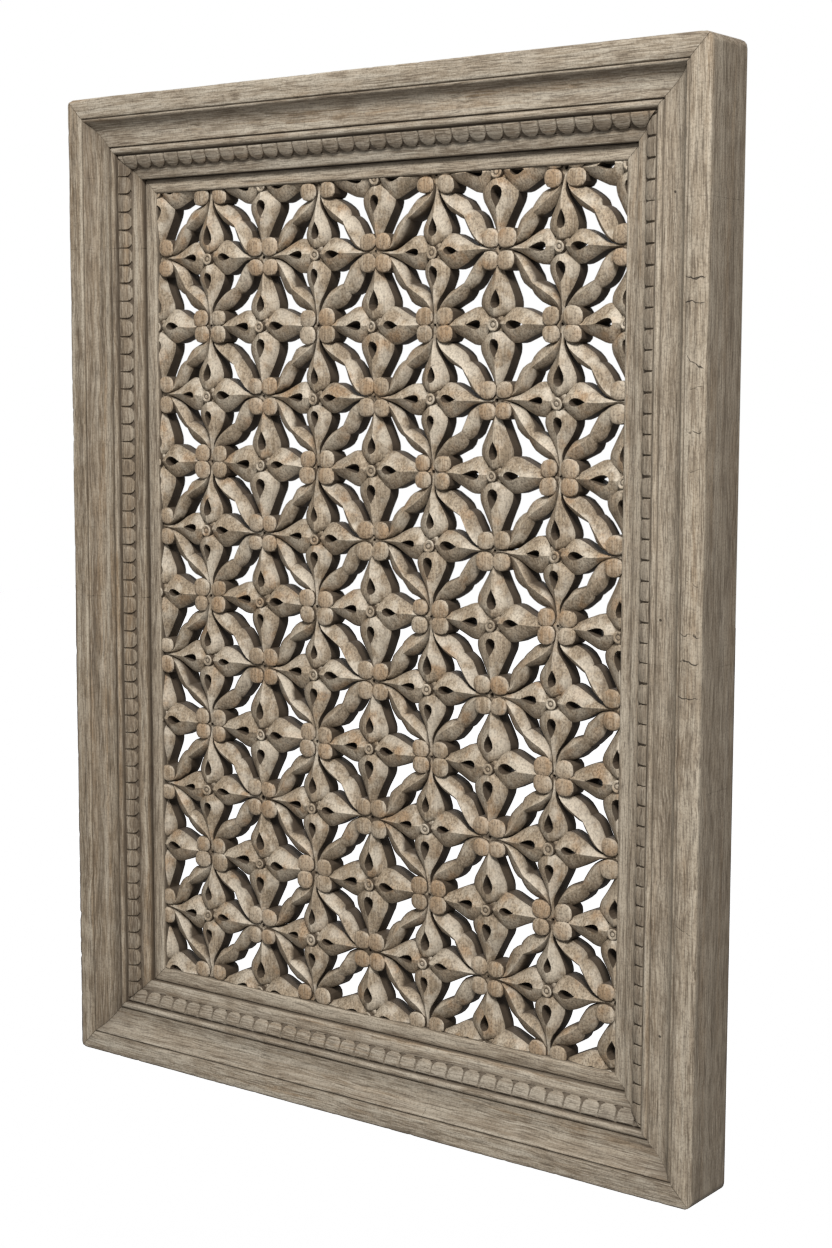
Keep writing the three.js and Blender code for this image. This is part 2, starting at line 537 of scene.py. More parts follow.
@dataclass(frozen=True)
class MitredSide:
    """One mitred side of a frame: its section carried along the side, with worn arrises."""

    side: Side
    datum: Datum
    section: Section
    spacing: float
    seed: int
    wear: float = 0.5
    wear_reach: float = 2.6
    wander: float = 0.14
    spacing_error: float = 0.018
    corner_radius: float = 0.0
    mitre_gap: float = 0.22
    # dirt and painted shade in the hollow near each mitre
    mitre_dirt_and_shade: float = 0.0
    mitre_dirt_and_shade_reach: float = 15.0
    # painted shade over the whole side, for a side that gets less light
    painted_shade: float = 0.0
    hidden_behind: float = 53.0
    hidden_inwards: float = 86.9
    chips: tuple[Chip, ...] = ()

    @property
    def length(self) -> float:
        """The side's length along its outer edge."""
        return self.datum.width if self.side in (Side.TOP, Side.BOTTOM) else self.datum.height

    @property
    def reach(self) -> float:
        """How far the side's outer edge is from the panel's centre."""
        return (self.datum.height if self.side in (Side.TOP, Side.BOTTOM) else self.datum.width) / 2

    def columns(self) -> tuple[Array, Array]:
        """Lays out the stations along the side.

        Returns:
            The middle of the tongue that each station belongs to, and the station's place
            across that tongue, from -1 to 1.
        """
        shares = np.array(self.section.tongues.columns if self.section.tongues else (-1.0, 0.0))
        half = math.ceil(self.length / 2 / self.spacing) + 1
        middles = (np.arange(-half, half + 1) * self.spacing).astype(float)
        rng = np.random.default_rng(self.seed)
        middles += rng.normal(0.0, self.spacing_error * self.spacing, len(middles))
        return np.repeat(middles, len(shares)), np.tile(shares, len(middles))

    def worn_arris(self, run: Array) -> Array:
        """How much of the outer arris is gone at each place along the side.

        It is wear * (0.5 + 0.35 * slow + 0.25 * quick^2), with a long and a short hand error,
        and each chip adds its bite * exp(-(distance / width)^4).

        Args:
            run: places along the side, from its middle.

        Returns:
            The loss at each place, in millimetres.
        """
        slow = HandError(self.seed + 5, 160.0, 1.0).at(run[:, None])
        quick = HandError(self.seed + 6, 17.0, 1.0).at(run[:, None])
        gone = self.wear * (0.5 + 0.35 * slow + 0.25 * np.maximum(quick, 0.0) ** 2)
        for chip in self.chips:
            gone = gone + chip.bite * np.exp(-(((run - chip.place) / chip.width) ** 4))
        return np.maximum(gone, 0.0)

    def shell(self) -> Shell:
        """Carries the section along the side, wears and carves it, and draws it on to its mitres.

        Returns:
            One closed shell.
        """
        rows, share = self.section.rows()
        middle, column = self.columns()
        inwards, behind, painted_shade_and_dirt = (np.tile(part, (len(middle), 1)) for part in rows.T)
        run = np.tile((middle + column * self.spacing / 2)[:, None], (1, len(rows)))
        sheet = Sheet(run, inwards, behind, painted_shade_and_dirt)
        shown = (rows[:, 1] < self.hidden_behind) & (rows[:, 0] < self.hidden_inwards)
        self._wear(sheet, rows, shown)
        if self.section.tongues is not None:
            self._carve(sheet, self.section.tongues, middle, column, share)
        self._mitre(sheet, shown)
        return self._closed(sheet)

    def _wear(self, sheet: Sheet, rows: Array, shown: Array) -> None:
        """Sinks the shown rows by two hand errors, and wears the outer arris.

        The arris's loss fades as exp(-(inwards + behind) / wear_reach) over the rows near it.

        Args:
            sheet: the side's surface, which is changed.
            rows: the section's rows.
            shown: whether each row shows.
        """
        places = np.stack([sheet.run, self.reach - sheet.inwards], -1)
        drift = HandError(self.seed + 1, 95.0, self.wander).at(places)
        ripple = HandError(self.seed + 2, 15.0, self.wander * 0.3).at(places)
        lift = np.abs((drift + ripple) * shown)
        outer = rows[:, 0] < 0.1
        below_arris = rows[:, 1] > 3.0
        fade = np.exp(-(rows[:, 0] + rows[:, 1]) / self.wear_reach)
        gone = self.worn_arris(sheet.run[:, 0])[:, None] * fade
        sheet.inwards = sheet.inwards + np.where(outer, lift * below_arris, 0.0) + gone
        sheet.behind = sheet.behind + np.where(outer, 0.0, lift) + gone

    def _carve(
        self, sheet: Sheet, tongues: Tongues, middle: Array, column: Array, share: Array
    ) -> None:
        """Carves the tongues: columns close in to their outline, heights stand off the slope, and the
        cuts get painted shade.

        Args:
            sheet: the side's surface, which is changed.
            tongues: the tongues' form.
            middle: the middle of each station's tongue.
            column: each station's place across its tongue, from -1 to 1.
            share: each row's place along a tongue, or -1 off the tongues.
        """
        on_tongue, along = share >= 0.0, np.maximum(share, 0.0)
        narrow = np.where(on_tongue, tongues.outline(along), 1.0)
        inner = np.abs(column)[:, None] < 0.99
        offset = column[:, None] * np.where(inner, narrow, 1.0) * self.spacing / 2
        height = tongues.height(column[:, None], along[None]) * on_tongue
        slope = unit(np.array(tongues.finish) - np.array(tongues.start))
        cut = smooth_step(0.5, -0.3, height) * on_tongue
        sheet.run = middle[:, None] + offset
        sheet.inwards = sheet.inwards + height * slope[1]
        sheet.behind = sheet.behind - height * slope[0]
        # painted shade in the cuts between the tongues, deeper towards their round ends
        sheet.painted_shade_and_dirt = np.maximum(sheet.painted_shade_and_dirt, (0.45 + 0.5 * share) * cut)

    def _mitre(self, sheet: Sheet, shown: Array) -> None:
        """Draws the stations past a mitre back on to it, paints dirt and shade in the hollow near it,
        and adds the side's painted shade.

        Args:
            sheet: the side's surface, which is changed.
            shown: whether each row shows.
        """
        limit = self.length / 2 - sheet.inwards - self.mitre_gap
        hollow_shade = smooth_step(17.0, 24.0, sheet.inwards) * shown
        apart = np.maximum(limit - np.abs(sheet.run), 0.0)
        dirt_and_shade = self.mitre_dirt_and_shade * np.exp(-apart / self.mitre_dirt_and_shade_reach) * hollow_shade
        # dirt and painted shade near the mitres, and the side's painted shade
        sheet.painted_shade_and_dirt = np.minimum(sheet.painted_shade_and_dirt + dirt_and_shade + self.painted_shade, 1.0)
        sheet.run = np.clip(sheet.run, -limit, limit)

    def _closed(self, sheet: Sheet) -> Shell:
        """Welds the stations that ended on the mitres, caps the side and turns it into place.

        Args:
            sheet: the side's surface.

        Returns:
            One closed shell.
        """
        points = np.stack([sheet.run, sheet.behind, self.reach - sheet.inwards], -1)
        stations, around = sheet.run.shape
        grid = np.arange(stations * around).reshape(stations, around)
        same = np.abs(np.diff(sheet.run, axis=0)) < 1e-6
        for station in range(1, stations):
            grid[station] = np.where(same[station - 1], grid[station - 1], grid[station])
        following = np.roll(grid, -1, 1)
        quads = np.stack([grid[:-1], following[:-1], following[1:], grid[1:]], -1).reshape(-1, 4)
        caps = [grid[:1, ::-1], grid[-1:]]
        used = np.zeros(stations * around, bool)
        used[grid.ravel()] = True
        renumber = np.cumsum(used) - 1
        blocks = [renumber[block] for block in [*without_repeats(quads.tolist()).values(), *caps]]
        flat = points.reshape(-1, 3)[used]
        for _ in range(self.side.value):
            flat = np.stack([flat[:, 2], flat[:, 1], -flat[:, 0]], -1)
        return Shell(self._rounded(flat), blocks, sheet.painted_shade_and_dirt.ravel()[used])

    def _rounded(self, points: Array) -> Array:
        """Pulls the frame's outer corners in to an arc of the corner radius.

        Args:
            points: points of the side, in place.

        Returns:
            The same points, with those past the arc moved on to it.
        """
        if self.corner_radius <= 0.0:
            return points
        half = np.array([self.datum.width / 2, self.datum.height / 2]) - self.corner_radius
        plane = points[:, [0, 2]]
        past = np.maximum(np.abs(plane) - half, 0.0)
        distance = np.linalg.norm(past, axis=1)
        outside = (past > 0.0).all(1) & (distance > self.corner_radius)
        scale = np.where(outside, self.corner_radius / np.maximum(distance, 1e-9), 1.0)
        eased = np.sign(plane) * (half + past * scale[:, None])
        points = points.copy()
        points[:, [0, 2]] = np.where(outside[:, None], eased, plane)
        return points


@dataclass(frozen=True)
class FrameFinishes:
    """The finishes of the moulded sides and the slips."""

    rails: "WeatheredWood"
    # a darker copy of the wood: painted shade on the stile that gets less light
    left_stile: "WeatheredWood"
    right_stile: "WeatheredWood"
    slips: "WeatheredWood"

    def of_side(self, side: Side) -> "WeatheredWood":
        """The finish of the moulded side."""
        return {Side.RIGHT: self.right_stile, Side.LEFT: self.left_stile}.get(side, self.rails)


@dataclass
class MouldedFrame:
    """The four moulded sides and the four slips inside them."""

    datum: Datum
    tongue_pitch_across: float = 16.85
    tongue_pitch_upright: float = 16.1
    slip_spacing: float = 9.0
    corner_radius: float = 8.5
    sharp_angle: float = 38.0
    # painted shade on the left stile, which gets less light than the right
    left_painted_shade: float = 0.1
    # dirt and painted shade near the lower and the upper mitres
    lower_mitre_dirt_and_shade: float = 0.36
    upper_mitre_dirt_and_shade: float = 0.22
    right_chips: tuple[Chip, ...] = (
        Chip(78.0, 7.0, 1.1),
        Chip(96.0, 4.0, 0.8),
        Chip(131.0, 9.0, 0.7),
        Chip(188.0, 5.0, 1.0),
        Chip(262.0, 4.0, 0.7),
        Chip(-60.0, 5.0, 0.5),
    )
    pieces: list[bpy.types.Object] = field(default_factory=list)

    def build(self, finishes: FrameFinishes) -> None:
        """Makes the rails, stiles and slips, and dresses them.

        Args:
            finishes: the finishes of the moulded sides and the slips.
        """
        names = {
            Side.TOP: ("frame_top_rail", "slip_top"),
            Side.RIGHT: ("frame_right_stile", "slip_right"),
            Side.BOTTOM: ("frame_bottom_rail", "slip_bottom"),
            Side.LEFT: ("frame_left_stile", "slip_left"),
        }
        for side, (rail, slip) in names.items():
            run = GrainRun.ACROSS if side in (Side.TOP, Side.BOTTOM) else GrainRun.UPRIGHT
            self._dress(self._moulded(side).shell(), rail, finishes.of_side(side), run)
            planted = MitredSide(
                side, self.datum, SLIP_SECTION, self.slip_spacing, 200 + 10 * side.value, wander=0.1
            )
            self._dress(planted.shell(), slip, finishes.slips, run)

    def _moulded(self, side: Side) -> MitredSide:
        """Sets out a rail or a stile.

        Args:
            side: the side that it stands on.

        Returns:
            The side, ready to be made.
        """
        level = side in (Side.TOP, Side.BOTTOM)
        lower = side in (Side.BOTTOM, Side.LEFT)
        return MitredSide(
            side=side,
            datum=self.datum,
            section=ROUND_TONGUES_SECTION if side is Side.TOP else RAIL_SECTION,
            spacing=self.tongue_pitch_across if level else self.tongue_pitch_upright,
            seed=100 + 10 * side.value,
            corner_radius=self.corner_radius,
            mitre_dirt_and_shade=self.lower_mitre_dirt_and_shade if lower else self.upper_mitre_dirt_and_shade,
            painted_shade=self.left_painted_shade if side is Side.LEFT else 0.0,
            chips=self.right_chips if side is Side.RIGHT else (),
        )

    def _dress(
        self, shell: Shell, node: str, wood: "WeatheredWood", run: GrainRun
    ) -> None:
        """Makes one piece that stands for a node of the frame, with its finish.

        Args:
            shell: the piece's surface.
            node: the node that the piece stands for.
            wood: the finish.
            run: the way that its grain runs.
        """
        piece = new_piece(shell.mesh(node, self.datum), f"{node}_carved", self.sharp_angle)
        piece.data.materials.append(wood.material(run))
        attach(piece, "root")
        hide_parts(node)
        self.pieces.append(piece)


# ------------------------------------------------------------------------------------------------
# Pierced board
# ------------------------------------------------------------------------------------------------


@dataclass(frozen=True)
class PetalForm:
    """Half-widths of a petal along its axis, from the flower's centre to the knot."""

    stations: tuple[float, ...]
    half_widths: tuple[float, ...]
    eye_length: float
    eye_width: float
    upright_share: float = 1.0
    side_share: float = 1.0

    def half_width(self, upright: bool) -> Array:
        """The half-width at each station of an upright petal, or of one that points sideways."""
        return np.array(self.half_widths) * (self.upright_share if upright else self.side_share)


STATIONS = (
    *(4.0, 5.2, 7.4, 10.0, 13.0, 16.5, 20.0, 23.5),
    *(27.0, 31.0, 35.0, 39.5, 44.5, 50.0, 55.5, 59.2),
)
FULL_PETAL = PetalForm(
    STATIONS,
    (0.0, 4.6, 8.2, 12.0, 15.4, 16.4, 16.2, 15.3, 13.6, 11.6, 9.6, 7.3, 4.9, 2.8, 1.3, 0.0),
    eye_length=13.8,
    eye_width=5.7,
    upright_share=1.03,
    side_share=0.95,
)
SLIM_PETAL = PetalForm(
    STATIONS,
    (0.0, 4.4, 7.9, 11.6, 13.9, 14.7, 14.3, 12.9, 11.1, 8.8, 6.3, 3.7, 2.0, 1.4, 1.1, 0.0),
    eye_length=13.0,
    eye_width=5.0,
)

GARLAND_STATIONS = (3.0, 7.0, 11.0, 15.0, 19.0, 24.0, 29.0, 34.0, 39.0, 42.3, 43.5)
GARLAND_OFFSETS = (2.2, 4.3, 5.6, 6.4, 6.3, 5.4, 4.3, 3.4, 2.8, 2.6, 2.6)
GARLAND_HALF_WIDTHS = (0.0, 1.5, 2.8, 4.4, 5.8, 6.9, 7.5, 7.7, 7.3, 6.6, 6.2)


class Cut(Enum):
    """What a tool does to the carving."""

    JOIN = "UNION"
    SINK = "DIFFERENCE"
    TRIM = "INTERSECT"


@dataclass
class PiercedBoard:
    """The board carved and pierced with a grid of flowers, bead knots and garlands.

    Flowers and knots alternate on the grid like a chessboard's squares. A flower on even lines
    has full petals, and one on odd lines slim petals that run on between a knot's beads. A
    garland joins each two knots that are diagonal neighbours, bowed towards the slim flower.
    A size named edge is in from the panel's edge, and depths are behind the front's plane.
    """

    datum: Datum
    columns: int = 8
    rows: int = 12
    grid_turn: float = -0.5
    opening_edge: float = 87.0
    field_edge: float = 87.3
    margin_edge: float = 74.3
    margin_front: float = 33.7
    back: float = 47.0
    crest: float = 28.1
    relief_limit: float = 40.0
    tool_front: float = 10.0
    tool_back: float = 60.0
    margin_overlap: float = 0.35
    node_gap: float = 61.5
    node_error: float = 0.5
    rim_drop: float = 7.4
    bead_radius: float = 7.8
    bead_widened: float = 1.12
    browned_share: float = 0.4
    boss_radius: float = 5.3
    row_sag: float = 3.0
    row_slip: float = 1.6
    column_drift: float = 1.8
    drift_start: float = 1.4
    drift_growth: float = 0.1875
    full_lean: float = 1.4
    slim_lean: float = 2.9
    sharp_angle: float = 25.0
    seed: int = 41
    nodes: Array = field(init=False)
    node_scale: Array = field(init=False)
    bead_centres: list[Array] = field(init=False, default_factory=list)
    rng: np.random.Generator = field(init=False)

    def __post_init__(self) -> None:
        """Sets out the grid's nodes, each a little off by hand.

        The grid is turned, sags as sin(pi * down) with a slip that grows downwards, and drifts
        to the left, most in its left columns. The flowers lean further left than the knots.
        """
        rng = np.random.default_rng(self.seed)
        size = (self.columns + 1, self.rows + 1)
        column, row = np.meshgrid(np.arange(size[0]), np.arange(size[1]), indexing="ij")
        opening = np.array([self.datum.width, self.datum.height]) - 2 * self.opening_edge
        pitch = opening / (self.columns, self.rows)
        plane = np.stack([column - self.columns / 2, self.rows / 2 - row], -1) * pitch
        turn = math.radians(self.grid_turn)
        turned = plane * math.cos(turn) + left_of(plane) * math.sin(turn)
        down = row / self.rows
        turned[..., 1] -= self.row_sag * np.sin(math.pi * down) + self.row_slip * down
        turned[..., 0] += self.column_drift * (self.drift_growth * column - self.drift_start)
        odd = (column % 2) * (row % 2)
        even = (1 - column % 2) * (1 - row % 2)
        turned[..., 0] -= self.slim_lean * odd + self.full_lean * even
        self.nodes = turned + rng.normal(0.0, self.node_error, turned.shape)
        self.node_scale = 1.0 + rng.normal(0.0, 0.025, size)
        self.rng = rng

    def _every_second(self, column: int, row: int) -> Array:
        """Grid places (column, row) on every second line from a column and a row."""
        lines = np.arange(column, self.columns + 1, 2), np.arange(row, self.rows + 1, 2)
        return np.stack(np.meshgrid(*lines, indexing="ij"), -1).reshape(-1, 2)

    def _at(self, places: Array) -> Array:
        """The nodes at grid places."""
        return self.nodes[places[:, 0], places[:, 1]]

    def flowers(self, full: bool) -> Array:
        """Grid places of the full flowers, on even lines, or of the slim ones, on odd lines."""
        return self._every_second(0, 0) if full else self._every_second(1, 1)

    def knots(self, upright: bool) -> Array:
        """Grid places of the knots with slim petals above and below, or at their sides."""
        return self._every_second(1, 0) if upright else self._every_second(0, 1)

    def _petal_axes(self, step: tuple[int, int], full: bool) -> tuple[Array, Array, Array]:
        """Sets out the petals that point along one grid step.

        Args:
            step: the grid step (columns, rows) from the flower to the knot.
            full: whether these are full petals.

        Returns:
            Their flowers' centres, their axes as far as the knots, and their flowers' scales.
        """
        flower = self.flowers(full)
        knot = flower + np.array(step)
        inside = ((knot >= 0) & (knot <= (self.columns, self.rows))).all(1)
        flower, knot = flower[inside], knot[inside]
        start = self._at(flower)
        return start, self._at(knot) - start, self.node_scale[flower[:, 0], flower[:, 1]]

    def petals(self, step: tuple[int, int], full: bool) -> Shell:
        """Petals that point along one grid step.

        Along the axis the half-width follows the petal's form. Across it the surface falls from
        the crest by drop * |s|^p, where s runs from -1 to 1 between the edges, the drop grows
        with the half-width, and p goes from a rounded bulb to a keeled tip. The rim falls a
        little more. Each petal's sides, bend and depth are a little off by hand.

        Args:
            step: the grid step (columns, rows) from the flower to the knot.
            full: whether these are full petals.

        Returns:
            One closed shell for each petal.
        """
        form = FULL_PETAL if full else SLIM_PETAL
        start, axis, scale = self._petal_axes(step, full)
        count = len(start)
        along = np.array(form.stations)
        share = along / self.node_gap
        half = form.half_width(upright=step[0] == 0)
        lopsided = self.rng.normal(1.0, 0.035, (count, 1, 2))
        ease = np.where(share < 0.6, 1.0, 1.0 - (share - 0.6) / 0.4)[None, :, None]
        sides = half[None, :, None] * scale[:, None, None] * (1 + (lopsided - 1) * ease)
        bend = self.rng.normal(0.0, 0.45, (count, 1)) * np.sin(math.pi * share)
        centre = start[:, None] + axis[:, None] * share[None, :, None]
        normal = left_of(unit(axis))
        centre = centre + normal[:, None] * bend[..., None]
        across = np.array([-1.0, -0.84, -0.45, 0.0, 0.45, 0.84, 1.0])
        width = np.where(across > 0, sides[..., 1:], sides[..., :1])
        offset = across * width
        power = np.interp(share, [0.0, 0.35, 0.55, 1.0], [1.5, 1.35, 1.0, 1.0])
        drop = self.rim_drop * (1.0 - np.exp(-half / 6.5))
        rim = 1.1 * np.abs(across) ** 7 * np.clip(half / 6.0, 0.0, 1.0)[:, None]
        fall = drop[:, None] * np.abs(across)[None] ** power[:, None] + rim
        crest = self.crest + np.interp(
            along,
            [4.0, 5.2, 7.4, 13.0, 24.0, 34.0, 43.0, 50.0, 59.2],
            [2.9, 1.0, -0.4, -1.2, -1.2, -0.4, 0.8, 2.4, 3.2],
        )
        depth = crest[:, None] + fall + self.rng.normal(0.0, 0.22, (count, 1, 1))
        return self._leaves(centre, normal, offset, depth)

    def _leaves(self, middle: Array, normal: Array, offset: Array, depth: Array) -> Shell:
        """Closed leaves from their middle lines, offsets to the left of them, and depths.

        Args:
            middle: points of the middle lines in the panel's plane, (leaves, stations, 2).
            normal: the direction to the left of each leaf, (leaves, 2).
            offset: offsets, (leaves, stations, points across).
            depth: depths behind the front, of the same shape.

        Returns:
            One closed shell for each leaf.
        """
        plane = middle[:, :, None] + normal[:, None, None] * offset[..., None]
        return leaf_shells(np.stack([plane[..., 0], depth, plane[..., 1]], -1), self.back)

    def eyes(self, step: tuple[int, int], full: bool) -> Shell:
        """Cutters for the teardrop eyes, flared at the front and pointed towards the knot.

        The outline goes round with t from 0 to a full turn: along the axis it is the middle plus
        half the length times cos t, and across it is width * sin t * sin(t/2)^1.2.

        Args:
            step: the grid step of the petals.
            full: whether these are full petals.

        Returns:
            One closed cutter for each petal.
        """
        start, axis, scale = self._petal_axes(step, full)
        count, around = len(start), 14
        t = (np.arange(around) + 0.5) / around * 2 * math.pi
        heading, normal = unit(axis), left_of(unit(axis))
        middle = 20.4 * scale + self.rng.normal(0.0, 0.5, count)
        form = FULL_PETAL if full else SLIM_PETAL
        long, wide = form.eye_length, form.eye_width * (1.0 if step[0] == 0 else 0.78)
        size = 1.0 + self.rng.normal(0.0, 0.07, (count, 1, 1))
        levels = (  # depth, longer, wider
            (16.0, 5.0, 2.4),
            (self.crest - 1.4, 2.8, 1.3),
            (30.4, 0.0, 0.0),
            (50.0, -1.0, -0.3),
        )
        rings = []
        for depth, longer, wider in levels:
            reach = ((long + longer) / 2 * np.cos(t))[None, :, None] * size
            side = ((wide + wider) * np.sin(t) * np.abs(np.sin(t / 2)) ** 1.2)[None, :, None] * size
            ring = start[:, None] + heading[:, None] * (middle[:, None, None] + reach)
            ring = ring + normal[:, None] * side
            rings.append(np.stack([ring[..., 0], np.full(ring.shape[:2], depth), ring[..., 1]], -1))
        return ring_shells(np.stack(rings, 1))

    def garlands(self) -> Shell:
        """Wavy bands that join the knots diagonally.

        Stations are measured from a knot along the straight line to the next one. The band's
        middle is offset towards the slim flower, its edges swell into two lobes that meet in a
        notch half-way, and its ridge lies nearer the slim flower's side.

        Returns:
            One closed shell for each garland.
        """
        first, second = self._garland_ends()
        count = len(first)
        line = second - first
        length = np.linalg.norm(line, axis=1)
        heading, normal = unit(line), left_of(unit(line))
        half_line = np.array(GARLAND_STATIONS)
        total = 2 * half_line[-1]
        along = np.concatenate([half_line, total - half_line[-2::-1]])
        offset = np.concatenate([GARLAND_OFFSETS, GARLAND_OFFSETS[-2::-1]])
        half = np.concatenate([GARLAND_HALF_WIDTHS, GARLAND_HALF_WIDTHS[-2::-1]])
        share = along / total
        sway = self.rng.normal(0.0, 0.55, (count, 1)) * np.sin(math.pi * share)
        swell = 1.0 + self.rng.normal(0.0, 0.05, (count, 1)) * np.sin(math.pi * share)
        place = first[:, None] + heading[:, None] * (share * length[:, None])[..., None]
        middle = offset + sway
        body = np.clip((along - 19.0) / 8.0, 0, 1) * np.clip((total - 19.0 - along) / 8.0, 0, 1)
        lobes = np.abs(np.sin(2 * math.pi * share)) ** 0.7
        inner = half * (1.0 + body * 0.3 * (lobes - 0.6)) * swell
        outer = half * (1.0 + body * 0.2 * (lobes - 0.6)) * swell
        ripple = HandError(self.seed + 9, 11.0, 0.28).at(place)
        ridge_share = 0.36 + self.rng.normal(0.0, 0.08, (count, 1)) - 0.16 * body * (1 - lobes)
        ridge = middle + ridge_share * half
        left, right = middle + inner + ripple, middle - outer + ripple
        across = np.array([-1.0, -0.86, -0.4, 0.0, 0.6, 1.0])
        span = np.where(across > 0, (left - ridge)[..., None], (ridge - right)[..., None])
        offset_across = ridge[..., None] + across * span
        drop = 6.2 * (1.0 - np.exp(-half / 4.0))
        rim = 1.6 * np.abs(across) ** 8 * np.clip(half / 6.0, 0.0, 1.0)[:, None]
        fall = drop[:, None] * np.abs(across)[None] + rim
        crest = self.crest + np.interp(
            np.minimum(along, total - along), [3.0, 11.0, 19.0, 30.0, 43.5], [3.4, 2.2, 0.9, 0.1, 0.7]
        )
        depth = crest[:, None] + fall + self.rng.normal(0.0, 0.25, (count, 1, 1))
        return self._leaves(place, normal, offset_across, depth)

    def _garland_ends(self) -> tuple[Array, Array]:
        """Finds the knots that each garland joins.

        Returns:
            The first knots and the second ones, with the slim flowers to the left of the way.
        """
        column, row = np.meshgrid(np.arange(self.columns), np.arange(self.rows), indexing="ij")
        column, row = column.ravel(), row.ravel()
        even = (column + row) % 2 == 0
        first = np.stack([column + even, row], -1)
        second = np.stack([column + (1 - even), row + 1], -1)
        slim = self._at(np.stack([column + (column % 2 == 0), row + (row % 2 == 0)], -1))
        start, end = self._at(first), self._at(second)
        left = (left_of(end - start) * (slim - start)).sum(1, keepdims=True) > 0
        return np.where(left, start, end), np.where(left, end, start)

    def _turned(
        self,
        centres: Array,
        sides: int,
        profile: Sequence[tuple[float, float]],
        scale: Array,
        square: float,
        widened: float = 1.0,
    ) -> Shell:
        """Turned studs: rings of a profile about each centre.

        A ring is a superellipse, radius / (|cos|^n + |sin|^n)^(1/n), widened across.

        Args:
            centres: the studs' centres in the panel's plane.
            sides: how many points a ring has.
            profile: (radius, depth) of each ring, from the front one to the back one.
            scale: each stud's own scale.
            square: the power n, 2 for a circle and more for a squarer ring.
            widened: how much wider than high a ring is.

        Returns:
            One closed shell for each stud.
        """
        angle = np.arange(sides) / sides * 2 * math.pi
        radius = (np.abs(np.cos(angle)) ** square + np.abs(np.sin(angle)) ** square) ** (-1 / square)
        shape = np.array(profile)
        reach = shape[None, :, :1] * radius[None, None, :] * scale[:, None, None]
        x = centres[:, None, None, 0] + reach * np.cos(angle) * widened
        z = centres[:, None, None, 1] + reach * np.sin(angle)
        depth = np.broadcast_to(shape[None, :, 1:], x.shape).copy()
        front = depth < self.relief_limit
        depth = depth + np.where(front, self.rng.normal(0.0, 0.25, (len(centres), 1, 1)), 0.0)
        return ring_shells(np.stack([x, depth, z], -1))

    def beads(self, parity: int) -> Shell:
        """Flattened beads about the knots, two of each knot's four.

        Args:
            parity: 1 for the pairs on the rising diagonal, -1 for the others.

        Returns:
            One closed shell for each bead.
        """
        radius = self.bead_radius
        profile = (
            (radius * 0.4, self.crest - 0.5),
            (radius * 0.72, self.crest - 0.15),
            (radius * 0.9, self.crest + 0.6),
            (radius * 0.98, self.crest + 1.6),
            (radius, self.crest + 3.2),
            (radius * 0.98, self.back),
        )
        centres = []
        for upright, (out_across, out_up) in ((True, (10.4, 7.2)), (False, (8.2, 9.0))):
            knot = self.knots(upright)
            for sign in (-1, 1):
                shift = np.array([out_across * sign, out_up * sign * parity])
                centres.append(self._at(knot) + shift)
        centre = np.concatenate(centres)
        centre = centre + self.rng.normal(0.0, 0.22, centre.shape)
        scale = 1.0 + self.rng.normal(0.0, 0.035, len(centre))
        self.bead_centres.append(centre)
        return self._turned(centre, 14, profile, scale, 2.5, self.bead_widened)

    def bosses(self) -> Shell:
        """Small dished bosses at the flowers' centres, a little low of the middle.

        Returns:
            One closed shell for each boss.
        """
        radius = self.boss_radius
        profile = (
            (radius * 0.2, self.crest - 0.7),
            (radius * 0.42, self.crest - 0.1),
            (radius * 0.6, self.crest - 0.8),
            (radius * 0.8, self.crest - 1.0),
            (radius * 0.95, self.crest - 0.4),
            (radius, self.crest + 0.8),
            (radius, self.back),
        )
        flower = np.concatenate([self.flowers(True), self.flowers(False)])
        centre = self._at(flower) + np.array([0.0, -1.1])
        centre = centre + self.rng.normal(0.0, 0.3, centre.shape)
        scale = 1.0 + self.rng.normal(0.0, 0.05, len(centre))
        return self._turned(centre, 16, profile, scale, 2.0)

    def webs(self) -> Shell:
        """Sunk wood that fills the knots between their beads and the flowers round their bosses.

        Returns:
            One closed shell for each knot and flower.
        """
        places = [self.knots(True), self.knots(False), self.flowers(True), self.flowers(False)]
        place = np.concatenate(places)
        centre = self._at(place)
        profile = ((7.4, self.crest + 3.4), (9.0, self.crest + 4.4), (9.0, self.back))
        return self._turned(centre, 8, profile, np.ones(len(centre)), 2.0)

    def knot_holes(self) -> Shell:
        """Cutters for the small dark holes where a knot's beads meet.

        Returns:
            One closed cutter for each knot.
        """
        knot = np.concatenate([self.knots(True), self.knots(False)])
        centre = self._at(knot) + np.array([0.0, 0.3])
        profile = ((2.1, 18.0), (2.1, self.crest + 0.6), (1.5, self.crest + 3.0), (1.2, 38.0))
        scale = 1.0 + self.rng.normal(0.0, 0.12, len(centre))
        return self._turned(centre, 8, profile, scale, 2.0)

    def block(self, edge: float, front: float, back: float) -> Shell:
        """A plain block, its outline at one distance in from the panel's edge.

        Args:
            edge: the distance of its outline in from the edge.
            front: the depth of its front.
            back: the depth of its back.

        Returns:
            One closed shell.
        """
        half = np.array([self.datum.width / 2 - edge, self.datum.height / 2 - edge])
        across, up = (np.array([[-1, -1], [1, -1], [1, 1], [-1, 1]]) * half).T
        rings = [np.stack([across, np.full(4, depth), up], -1) for depth in (front, back)]
        return ring_shells(np.array(rings)[None])

